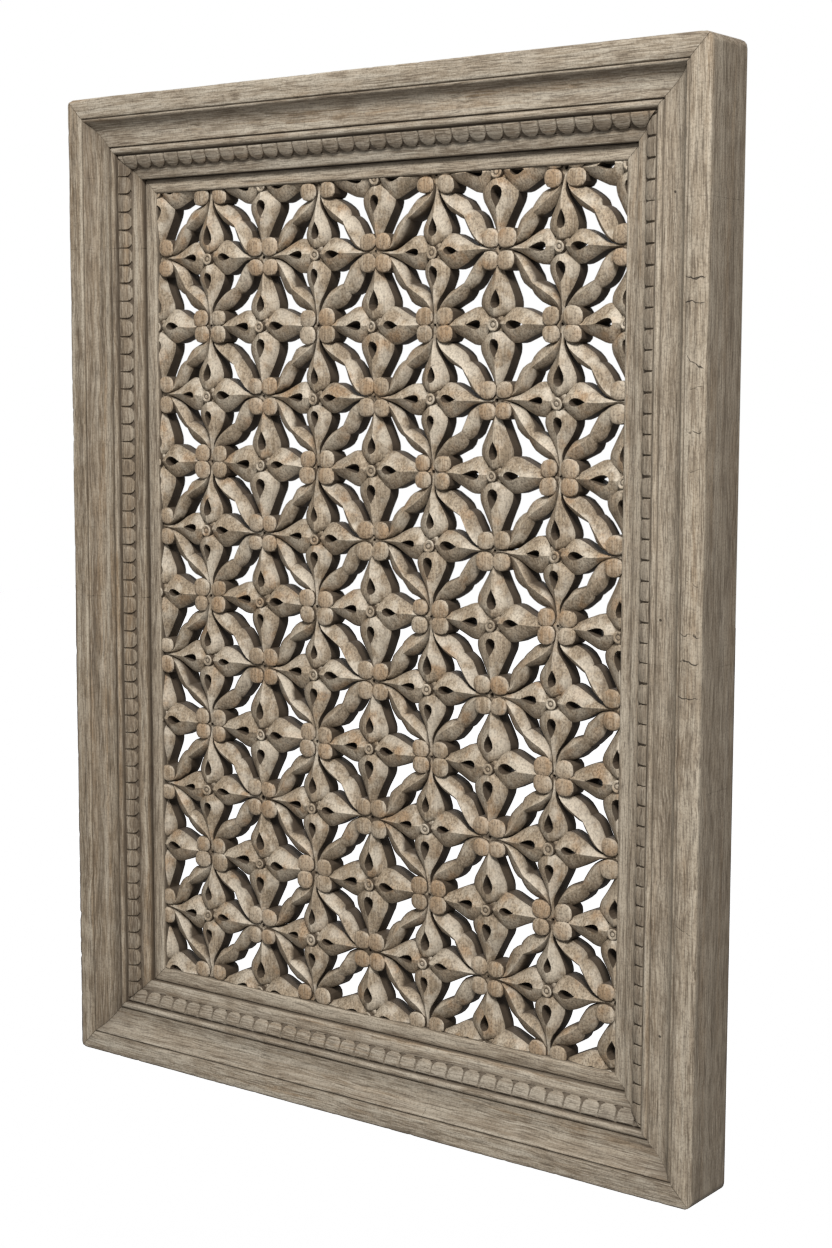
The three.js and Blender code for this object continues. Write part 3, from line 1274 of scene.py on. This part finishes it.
    def build(self, wood: "WeatheredWood") -> bpy.types.Object:
        """Joins, cuts and dresses the board.

        Args:
            wood: the board's finish.

        Returns:
            The finished piece.
        """
        sideways, upright = ((1, 0), (-1, 0)), ((0, -1), (0, 1))
        side_petals, upright_petals = (
            Shell.joined([self.petals(step, full) for step in steps for full in (True, False)])
            for steps in (sideways, upright)
        )
        eyes = [self.eyes(step, full) for step in sideways + upright for full in (True, False)]
        relief = (self.garlands(), self.beads(1), self.beads(-1), self.bosses(), self.webs())
        carving = Carving(self.datum, self._warp)
        carving.start(side_petals)
        for shell in (upright_petals, *relief):
            carving.combine(shell, Cut.JOIN)
        carving.combine(Shell.joined([*eyes, self.knot_holes()]), Cut.SINK)
        field_block = self.block(self.field_edge, self.tool_front, self.back)
        carving.combine(field_block, Cut.TRIM, warped=False)
        carving.combine_mesh(self._margin(), Cut.JOIN)
        mesh = carving.result("lattice_panel")
        self._brown_beads(mesh)
        mark_hollows(mesh)
        piece = new_piece(mesh, "lattice_panel_carved", self.sharp_angle)
        piece.data.materials.append(wood.material(GrainRun.UPRIGHT))
        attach(piece, "root")
        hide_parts("lattice_panel")
        return piece

    def _margin(self) -> bpy.types.Mesh:
        """The plain sunk border round the carved field, which the slips cover.

        Returns:
            The border's mesh.
        """
        margin = Carving(self.datum, self._warp)
        margin.start(self.block(self.margin_edge, self.margin_front, self.back), warped=False)
        inner = self.block(self.field_edge + self.margin_overlap, self.tool_front, self.tool_back)
        margin.combine(inner, Cut.SINK, warped=False)
        return margin.result("board_margin")

    def _brown_beads(self, mesh: bpy.types.Mesh) -> None:
        """Gives each point an "old_finish" value, high on the beads that kept their brown finish.

        Args:
            mesh: the carved board.
        """
        place = read_vectors(mesh.vertices, "co") * METRE
        plane = place[:, [0, 2]] - np.array([0.0, self.datum.centre_up])
        plane[place[:, 1] + self.datum.depth > self.crest + 9.0] = np.inf
        centres = np.concatenate(self.bead_centres)
        rng = np.random.default_rng(self.seed + 9)
        kept = rng.random(len(centres)) < self.browned_share
        amounts = np.where(kept, rng.uniform(0.6, 1.0, len(centres)), 0.3)
        value = np.zeros(len(plane), np.float32)
        for centre, amount in zip(centres, amounts):
            away = (plane - centre) / np.array([self.bead_widened, 1.0])
            near = np.hypot(away[:, 0], away[:, 1]) < self.bead_radius * 1.07
            value[near] = np.maximum(value[near], amount)
        write_values(mesh, "old_finish", value)

    def _warp(self, points: Array) -> Array:
        """Wanders the carving a little in all three directions, with its back kept flat.

        Args:
            points: points of the carving.

        Returns:
            The moved points.
        """
        errors = (46.0, 0.35), (60.0, 0.3), (42.0, 0.35)  # across, behind, up
        shift = np.stack(
            [
                HandError(self.seed + 1 + axis, span, size).at(points[:, [0, 2]])
                for axis, (span, size) in enumerate(errors)
            ],
            -1,
        )
        shift[points[:, 1] >= self.relief_limit, 1] = 0.0
        return points + shift


@dataclass
class Carving:
    """Joins and cuts closed shells with exact booleans, one after another."""

    datum: Datum
    warp: Callable[[Array], Array]
    work: bpy.types.Object | None = None

    def _object(self, shell: Shell, warped: bool) -> bpy.types.Object:
        """Makes an object that holds a shell for a boolean.

        Args:
            shell: the shell.
            warped: whether the hand's wandering moves it.

        Returns:
            The object, which is removed after its use.
        """
        if warped:
            shell = Shell(self.warp(shell.points), shell.faces)
        return linked("carving_tool", shell.mesh("carving_tool", self.datum))

    def start(self, shell: Shell, warped: bool = True) -> None:
        """Sets the first shell."""
        self.work = self._object(shell, warped)

    def combine(self, shell: Shell, cut: Cut, warped: bool = True) -> None:
        """Joins, cuts or trims the work with a shell."""
        self._apply(self._object(shell, warped), cut)

    def combine_mesh(self, mesh: bpy.types.Mesh, cut: Cut) -> None:
        """Joins, cuts or trims the work with a finished mesh."""
        self._apply(linked("carving_tool", mesh), cut)

    def _apply(self, tool: bpy.types.Object, cut: Cut) -> None:
        """Runs one boolean and keeps its result as the work's mesh.

        Args:
            tool: the object that cuts, which is removed.
            cut: what it does to the work.
        """
        modifier = self.work.modifiers.new("carve", "BOOLEAN")
        modifier.operation = cut.value
        modifier.solver = "MANIFOLD"
        modifier.object = tool
        graph = bpy.context.evaluated_depsgraph_get()
        result = bpy.data.meshes.new_from_object(self.work.evaluated_get(graph))
        self.work.modifiers.clear()
        self.work.data = result
        bpy.data.objects.remove(tool)
        LOG.info("carving, %s: %d faces", cut.name.lower(), len(result.polygons))

    def result(self, name: str) -> bpy.types.Mesh:
        """Hands over the mesh and clears the work.

        Args:
            name: the mesh's name.

        Returns:
            The mesh, without materials.
        """
        mesh = self.work.data
        mesh.name = name
        mesh.materials.clear()
        mesh.polygons.foreach_set("material_index", np.zeros(len(mesh.polygons), np.int32))
        bpy.data.objects.remove(self.work)
        self.work = None
        return mesh


# ------------------------------------------------------------------------------------------------
# Finishes
# ------------------------------------------------------------------------------------------------


@dataclass(frozen=True)
class Wire:
    """An output socket that takes arithmetic: each operator adds one Math node."""

    graph: "ShaderGraph"
    socket: bpy.types.NodeSocket

    def _with(self, operation: str, *others: "Wire | float") -> "Wire":
        """Adds a Math node of the operation on this socket and the others."""
        values = dict(enumerate([self, *others]))
        return self.graph.node("ShaderNodeMath", {"operation": operation}, values)

    def __add__(self, other: "Wire | float") -> "Wire":
        """self + other."""
        return self._with("ADD", other)

    __radd__ = __add__

    def __mul__(self, other: "Wire | float") -> "Wire":
        """self * other."""
        return self._with("MULTIPLY", other)

    __rmul__ = __mul__

    def __sub__(self, other: "Wire | float") -> "Wire":
        """self - other."""
        return self._with("SUBTRACT", other)

    def __rsub__(self, other: float) -> "Wire":
        """other - self."""
        return self.graph.node("ShaderNodeMath", {"operation": "SUBTRACT"}, {0: other, 1: self})

    def __pow__(self, other: "Wire | float") -> "Wire":
        """self to the power of other."""
        return self._with("POWER", other)

    def __abs__(self) -> "Wire":
        """The size of self."""
        return self._with("ABSOLUTE")

    def highest(self, other: "Wire | float") -> "Wire":
        """The larger of self and other."""
        return self._with("MAXIMUM", other)

    def ramp(self, low: float, high: float) -> "Wire":
        """An eased ramp from 0 at low to 1 at high."""
        values = {"Value": self, "From Min": low, "From Max": high}
        return self.graph.node("ShaderNodeMapRange", {"interpolation_type": "SMOOTHSTEP"}, values)


class ShaderGraph:
    """A material's nodes, made one at a time from a type, settings and inputs."""

    def __init__(self, name: str) -> None:
        """Starts an empty material."""
        self.material = bpy.data.materials.new(name)
        self.material.use_nodes = True
        self.tree = self.material.node_tree
        self.tree.nodes.clear()

    def node(
        self,
        kind: str,
        settings: dict[str, object],
        inputs: dict[str | int, object],
        output: str | int = 0,
    ) -> Wire | None:
        """Adds one node.

        Args:
            kind: the node's type.
            settings: properties that are set first.
            inputs: values or wires by socket name or number.
            output: the output socket that is handed back.

        Returns:
            A wire from that output, or None if the node has no outputs.
        """
        made = self.tree.nodes.new(kind)
        for name, value in settings.items():
            setattr(made, name, value)
        for key, value in inputs.items():
            socket = made.inputs[key]
            if isinstance(value, Wire):
                self.tree.links.new(value.socket, socket)
            else:
                socket.default_value = value
        outputs = made.outputs
        return Wire(self, outputs[output]) if len(outputs) else None

    def coordinate(self, kind: str) -> Wire:
        """The texture coordinate of a kind, such as Object or Normal."""
        return self.node("ShaderNodeTexCoord", {}, {}, kind)

    def split(self, vector: Wire, axis: str) -> Wire:
        """One part of a vector."""
        return self.node("ShaderNodeSeparateXYZ", {}, {"Vector": vector}, axis)

    def mixed(self, share: Wire, low: "Wire | Colour", high: "Wire | Colour") -> Wire:
        """Mixes two colours, from low at 0 to high at 1."""
        settings = {"data_type": "RGBA", "blend_type": "MIX", "clamp_factor": True}
        return self.node("ShaderNodeMix", settings, {0: share, 6: low, 7: high}, 2)

    def kept(self, name: str) -> Wire:
        """A value that the mesh keeps at its points."""
        return self.node("ShaderNodeAttribute", {"attribute_name": name}, {}, "Fac")

    def stretched(self, where: Wire, scale: tuple[float, float, float]) -> Wire:
        """Coordinates scaled along each axis."""
        values = {"Vector": where, "Scale": scale}
        return self.node("ShaderNodeMapping", {"vector_type": "POINT"}, values)

    def noise(self, where: Wire, scale: float, detail: float, roughness: float = 0.5) -> Wire:
        """A noise value at each place, about 0.5 on average."""
        values = {"Vector": where, "Scale": scale, "Detail": detail, "Roughness": roughness}
        return self.node("ShaderNodeTexNoise", {"noise_dimensions": "3D"}, values)


Colour = tuple[float, float, float, float]


def srgb(red: int, green: int, blue: int) -> Colour:
    """A colour in linear light from its screen values.

    Args:
        red: the red value, from 0 to 255.
        green: the green value.
        blue: the blue value.

    Returns:
        Red, green and blue in linear light from 0 to 1, and full opacity.
    """
    def channel(value: int) -> float:
        """One channel through the standard screen curve."""
        share = value / 255.0
        return share / 12.92 if share <= 0.04045 else ((share + 0.055) / 1.055) ** 2.4

    return (channel(red), channel(green), channel(blue), 1.0)


@dataclass(frozen=True)
class Patterns:
    """Values over a wooden surface, most of them noise about 0.5, that its colour is mixed by."""

    fibre: Wire
    figure: Wire
    band: Wire
    mottle: Wire
    blotch: Wire
    cloud: Wire
    sunk: Wire


@dataclass(frozen=True)
class WeatheredWood:
    """Old washed wood: fine straight grain, pale wash where it is proud, dirt and painted shade where
    it is sunk.
    """

    name: str
    pale: Colour = srgb(182, 171, 153)
    body: Colour = srgb(150, 136, 117)
    grey: Colour = srgb(128, 115, 98)
    tan: Colour = srgb(150, 124, 93)
    # painted highlight: the pale colour of carved facets lit by the key light
    lit_facet_highlight: Colour = srgb(212, 203, 188)
    # dark grain and dirt, and painted shade in recesses, creases and on facets turned from the light
    dirt_and_shade: Colour = srgb(60, 49, 38)
    # painted shade: the dark colour that steep walls show in shade
    hollow_shade: Colour = srgb(62, 51, 39)
    crack: Colour = srgb(38, 30, 23)
    depth: float = 55.0
    carved: bool = False
    crest: float = 28.1
    tanned: float = 0.3
    wash: float = 0.3
    streaks: float = 0.5
    bands: float = 0.5
    specks: float = 0.3
    checks: bool = False
    check_lines: tuple[tuple[float, float, float], ...] = (  # height, fall across, strength
        (-143.0, 0.0, 1.0),
        (-161.0, 0.0, 1.0),
        (-205.0, 0.75, 0.9),
        (-225.0, 0.0, 0.45),
        (-257.0, 0.0, 0.75),
        (-287.0, -0.2, 0.4),
        (-372.0, 0.4, 0.4),
        (-410.0, 0.0, 0.8),
        (-432.0, 0.0, 1.0),
        (-459.0, 0.0, 1.0),
        (-640.0, 0.3, 0.35),
    )
    check_sway: float = 6.5
    flat_starts: tuple[float, float] = (317.5, 319.5)
    flat_middle: float = 327.0
    flat_ends: tuple[float, float] = (333.0, 336.5)
    nail_holes: tuple[tuple[float, float], ...] = (  # across, height
        (303.0, -78.0),
        (302.0, -731.0),
        (296.5, -402.0),
    )

    def material(self, run: GrainRun) -> bpy.types.Material:
        """The finish, with its grain along the given run.

        Args:
            run: the way that the grain runs.

        Returns:
            The material, made once for each name and run.
        """
        name = f"{self.name}_{run.value}"
        found = bpy.data.materials.get(name)
        return found if found is not None else self._made(name, run)

    def _made(self, name: str, run: GrainRun) -> bpy.types.Material:
        """Builds the nodes.

        Args:
            name: the material's name.
            run: the way that the grain runs.

        Returns:
            The material.
        """
        graph = ShaderGraph(name)
        where = graph.coordinate("Object")
        seen = self._patterns(graph, where, run)
        colour = self._washed(graph, seen)
        relief = seen.fibre * (0.75 * self.streaks) + seen.figure * 0.1
        relief = relief + seen.mottle * (0.7 * self.specks)
        if self.carved:
            colour = self._painted_light_and_wear(graph, seen, colour)
        if self.checks:
            check = self._checks(graph, where)
            colour = graph.mixed(check, colour, self.crack)
            relief = relief - check * 0.9
        bump_values = {"Strength": 1.0, "Distance": 1.0 / METRE, "Height": relief}
        values = {
            "Base Color": colour,
            "Roughness": 0.66 + seen.fibre * 0.2,
            "Normal": graph.node("ShaderNodeBump", {}, bump_values),
            "Specular IOR Level": 0.3,
        }
        shader = graph.node("ShaderNodeBsdfPrincipled", {}, values)
        graph.node("ShaderNodeOutputMaterial", {}, {"Surface": shader})
        return graph.material

    def _patterns(self, graph: ShaderGraph, where: Wire, run: GrainRun) -> Patterns:
        """Lays out the grain and the patches of wear.

        Fibre, figure, band and long blotches are the same noise at coarser and coarser scales,
        drawn out along the grain. A slow drift bends them a little.

        Args:
            graph: the material's nodes.
            where: Object coordinates.
            run: the way that the grain runs.

        Returns:
            The patterns.
        """
        along, around = (34.0, 860.0) if self.carved else (42.0, 1120.0)
        grain = (along, around, around) if run is GrainRun.ACROSS else (around, around, along)
        drift = graph.noise(where, 14.0, 3.0)
        drifts = graph.node("ShaderNodeCombineXYZ", {}, {0: drift, 1: drift, 2: drift})
        bend = {0: drifts, 1: (0.006, 0.006, 0.006), 2: where}
        bent = graph.node("ShaderNodeVectorMath", {"operation": "MULTIPLY_ADD"}, bend)

        def drawn_out(share: float, detail: float, roughness: float) -> Wire:
            """Noise along the grain, at a share of the fibre's scale."""
            scale = tuple(value * share for value in grain)
            return graph.noise(graph.stretched(bent, scale), 1.0, detail, roughness)

        return Patterns(
            fibre=drawn_out(1.0, 3.0, 0.62),
            figure=drawn_out(0.25, 3.0, 0.55),
            band=drawn_out(0.12, 2.5, 0.5),
            mottle=graph.noise(where, 560.0, 2.0, 0.7),
            blotch=graph.noise(where, 46.0, 2.0) if self.carved else drawn_out(0.075, 3.0, 0.6),
            cloud=graph.noise(where, 60.0 if self.carved else 38.0, 3.0),
            sunk=self._sunk(graph, where),
        )

    def _washed(self, graph: ShaderGraph, seen: Patterns) -> Wire:
        """Mixes the wood, its tan patches, the pale wash, and the dirt and painted shade.

        Args:
            graph: the material's nodes.
            seen: the patterns.

        Returns:
            The colour.
        """
        clean_and_unshaded = 1.0 - seen.sunk
        colour = graph.mixed(seen.figure.ramp(0.34, 0.66), self.grey, self.body)
        colour = graph.mixed(seen.blotch.ramp(0.55, 0.68) * self.tanned, colour, self.tan)
        washed = seen.cloud.ramp(0.44, 0.64) * clean_and_unshaded * self.wash
        if self.carved:
            old = graph.kept("old_finish")
            colour = graph.mixed(old * (0.2 + seen.figure * 0.7), colour, self.tan)
            washed = washed * (1.0 - old * 0.8)
        pale_bands = seen.band.ramp(0.51, 0.64) * clean_and_unshaded * self.bands
        dark_bands = (1.0 - seen.band.ramp(0.35, 0.45)) * self.bands * 0.5
        pale_streaks = seen.fibre.ramp(0.5, 0.64) * self.streaks
        dark_streaks = (1.0 - seen.fibre.ramp(0.36, 0.49)) * self.streaks * 1.1
        dark_specks = (1.0 - seen.mottle.ramp(0.36, 0.54)) * self.specks
        layers = (
            (washed, self.pale),
            (pale_bands, self.pale),
            (dark_bands, self.dirt_and_shade),
            (pale_streaks, self.pale),
            (dark_streaks, self.dirt_and_shade),
            (dark_specks, self.dirt_and_shade),
            # dirt and painted shade where the surface is sunk
            (seen.sunk * (0.66 + seen.mottle * 0.3), self.dirt_and_shade),
        )
        for share, layer in layers:
            colour = graph.mixed(share, colour, layer)
        return colour

    def _painted_light_and_wear(self, graph: ShaderGraph, seen: Patterns, colour: Wire) -> Wire:
        """Paints a highlight on facets facing the light, shade on facets turned away and on steep
        walls, shade and dirt in creases, and pale wear on ridges.

        Args:
            graph: the material's nodes.
            seen: the patterns.
            colour: the colour so far.

        Returns:
            The colour.
        """
        clean_and_unshaded = 1.0 - seen.sunk
        facing, hollow_shade = graph.coordinate("Normal"), graph.kept("hollow_shade")
        # how far a facet faces the key light at the upper right: facets turned to it get a painted
        # highlight, facets turned away painted shade
        towards_light = graph.split(facing, "X") * 0.8 + graph.split(facing, "Z") * 0.45
        # steep walls, which get painted shade
        wall = 1.0 - abs(graph.split(facing, "Y")).ramp(0.3, 0.62)
        layers = (
            # painted highlight on facets that face the light
            (towards_light.ramp(0.12, 0.4) * seen.cloud.ramp(0.42, 0.58) * clean_and_unshaded * 0.2, self.lit_facet_highlight),
            # painted shade on facets turned away from the light
            ((towards_light * -1.0).ramp(0.1, 0.4) * 0.12, self.dirt_and_shade),
            # painted shade and dirt in the creases
            (hollow_shade.ramp(0.01, 0.15) * 0.8, self.dirt_and_shade),
            ((hollow_shade * -1.0).ramp(0.12, 0.36) * clean_and_unshaded * 0.16, self.pale),
            # painted shade on steep walls
            (wall * (0.8 + seen.figure * 0.3), self.hollow_shade),
        )
        for share, layer in layers:
            colour = graph.mixed(share, colour, layer)
        return colour

    def _sunk(self, graph: ShaderGraph, where: Wire) -> Wire:
        """Where dirt and painted shade lie: by depth below the crest on the carved board, else the
        value kept at each point.

        Args:
            graph: the material's nodes.
            where: Object coordinates.

        Returns:
            The share of dirt and painted shade, from 0 to about 1.
        """
        if not self.carved:
            return graph.kept("painted_shade_and_dirt")
        # darker the deeper below the crest: painted shade in recesses, with dirt
        below = graph.split(where, "Y") * METRE + (self.depth - self.crest)
        return below.ramp(1.2, 5.0) * 0.22 + below.ramp(4.5, 8.5) * 0.46

    def _checks(self, graph: ShaderGraph, where: Wire) -> Wire:
        """Fine drying checks that wander across the stile's outer flat, and old nail holes.

        Args:
            graph: the material's nodes.
            where: Object coordinates.

        Returns:
            The strength of the checks and holes.
        """
        across, up = graph.split(where, "X") * METRE, graph.split(where, "Z") * METRE
        front = 1.0 - (graph.split(where, "Y") * METRE + self.depth).ramp(12.0, 16.0)
        sway = graph.noise(where, 95.0, 2.0) * (2.0 * self.check_sway) - self.check_sway
        flat = across.ramp(*self.flat_starts) * (1.0 - across.ramp(*self.flat_ends))
        faint = graph.noise(where, 190.0, 1.0)
        marks = []
        for height, slope, strength in self.check_lines:
            apart = abs(up + sway + (across - self.flat_middle) * slope - height)
            shown = faint.ramp(0.46 - 0.2 * strength, 0.5) * strength
            marks.append((1.0 - apart.ramp(0.1, 0.62)) * flat * shown)
        for place, height in self.nail_holes:
            apart = (abs(across - place) ** 2.0 + abs(up - height) ** 2.0) ** 0.5
            marks.append(1.0 - apart.ramp(0.6, 1.3))
        total = marks[0]
        for mark in marks[1:]:
            total = total.highest(mark)
        return total * front * 0.85


# ------------------------------------------------------------------------------------------------
# Studio
# ------------------------------------------------------------------------------------------------


@dataclass(frozen=True)
class Lamp:
    """A square soft light that faces the panel's centre, placed from there in metres."""

    name: str
    place: tuple[float, float, float]
    size: float
    power: float


@dataclass(frozen=True)
class Studio:
    """A pale floor, soft lights and the camera.

    The camera's place is in panel heights from the front's lower left corner. Its turn to the
    left, its tip downwards and its roll are in degrees.
    """

    datum: Datum
    lens: float = 60.34
    camera_across: float = 1.60658
    camera_before: float = 1.53523
    camera_up: float = 0.71476
    camera_turn: float = 36.976
    camera_tip: float = 6.616
    camera_roll: float = 0.176
    floor_below: float = 3.5
    floor_reach: float = 30.0
    sky_seen: float = 1.0
    sky_cast: float = 0.34
    lamps: tuple[Lamp, ...] = (
        Lamp("key_light", (1.5, -2.2, 2.5), 0.9, 196.0),
        Lamp("fill_light", (-2.2, -2.4, 0.3), 2.2, 5.0),
        Lamp("back_light", (-1.3, 2.6, 1.2), 2.4, 30.0),
    )

    def build(self) -> None:
        """Makes the floor, the sky, the lights and the camera."""
        self._floor()
        self._sky()
        for lamp in self.lamps:
            self._light(lamp)
        self._camera()

    def _camera(self) -> None:
        """Places and turns the camera."""
        height, width, depth = self.datum.height, self.datum.width, self.datum.depth
        place = Vector(
            (
                self.camera_across * height - width / 2,
                -depth - self.camera_before * height,
                self.datum.centre_up + (self.camera_up - 0.5) * height,
            )
        )
        turn = Matrix.Rotation(math.radians(self.camera_turn), 4, "Z")
        tip = Matrix.Rotation(math.radians(90.0 - self.camera_tip), 4, "X")
        roll = Matrix.Rotation(math.radians(self.camera_roll), 4, "Z")
        data = bpy.data.cameras.new("camera")
        data.lens = self.lens
        data.clip_start, data.clip_end = 0.05, 60.0
        camera = linked("camera", data)
        camera.matrix_world = Matrix.Translation(place / METRE) @ turn @ tip @ roll
        bpy.context.scene.camera = camera

    def _floor(self) -> None:
        """A plain pale floor, well below the panel as if it hung on a wall."""
        level = (self.datum.centre_up - self.datum.height / 2) / METRE - self.floor_below
        mesh = bpy.data.meshes.new("floor")
        signs = (-1, -1), (1, -1), (1, 1), (-1, 1)
        corners = [(x * self.floor_reach, y * self.floor_reach, level) for x, y in signs]
        mesh.from_pydata(corners, [], [(0, 1, 2, 3)])
        floor = linked("floor", mesh)
        graph = ShaderGraph("pale_floor")
        values = {"Base Color": (0.9, 0.9, 0.9, 1.0), "Roughness": 0.9}
        shader = graph.node("ShaderNodeBsdfPrincipled", {}, values)
        graph.node("ShaderNodeOutputMaterial", {}, {"Surface": shader})
        mesh.materials.append(graph.material)
        floor.is_shadow_catcher = True

    def _sky(self) -> None:
        """A white backdrop all round that lights the panel more softly than it shows."""
        world = bpy.data.worlds.new("studio")
        bpy.context.scene.world = world
        world.use_nodes = True
        nodes, links = world.node_tree.nodes, world.node_tree.links
        background = nodes["Background"]
        background.inputs["Color"].default_value = (1.0, 1.0, 1.0, 1.0)
        path, strength = nodes.new("ShaderNodeLightPath"), nodes.new("ShaderNodeMapRange")
        strength.inputs["To Min"].default_value = self.sky_cast
        strength.inputs["To Max"].default_value = self.sky_seen
        links.new(path.outputs["Is Camera Ray"], strength.inputs["Value"])
        links.new(strength.outputs["Result"], background.inputs["Strength"])
        bpy.context.scene.view_settings.view_transform = "Standard"

    def _light(self, lamp: Lamp) -> None:
        """Makes one light.

        Args:
            lamp: the light's name, place, size and power.
        """
        data = bpy.data.lights.new(lamp.name, "AREA")
        data.size = lamp.size
        data.energy = lamp.power
        away = Vector(lamp.place)
        where = Matrix.Translation(away + Vector((0.0, 0.0, self.datum.centre_up / METRE)))
        light = linked(lamp.name, data)
        light.matrix_world = where @ away.to_track_quat("Z", "Y").to_matrix().to_4x4()


def main() -> None:
    """Builds the panel's pieces in order, then the studio."""
    logging.basicConfig(level=logging.INFO, format="%(name)s: %(message)s")
    datum = Datum.of_box(CAD_BOX)
    finishes = FrameFinishes(
        rails=WeatheredWood(
            "rail_wood", pale=srgb(180, 171, 155), body=srgb(149, 136, 118), tanned=0.45
        ),
        # darker body and grey than the other sides: painted shade, as the left stile gets less light
        left_stile=WeatheredWood(
            "left_stile_shaded_wood", body=srgb(142, 126, 105), grey=srgb(118, 104, 86), bands=0.75, tanned=0.5
        ),
        right_stile=WeatheredWood("right_stile_wood", checks=True),
        slips=WeatheredWood("slip_wood"),
    )
    lattice_wood = WeatheredWood(
        "lattice_wood",
        pale=srgb(196, 186, 168),
        body=srgb(154, 137, 115),
        grey=srgb(132, 116, 95),
        tan=srgb(152, 121, 88),
        carved=True,
        tanned=0.6,
        wash=0.4,
        streaks=0.22,
        bands=0.15,
        specks=0.5,
    )
    moulded = MouldedFrame(datum)
    moulded.build(finishes)
    for piece in moulded.pieces:
        LOG.info("%s: %d faces", piece.name, len(piece.data.polygons))
    board = PiercedBoard(datum).build(lattice_wood)
    LOG.info("%s: %d faces", board.name, len(board.data.polygons))
    Studio(datum).build()


if __name__ == "__main__":
    main()
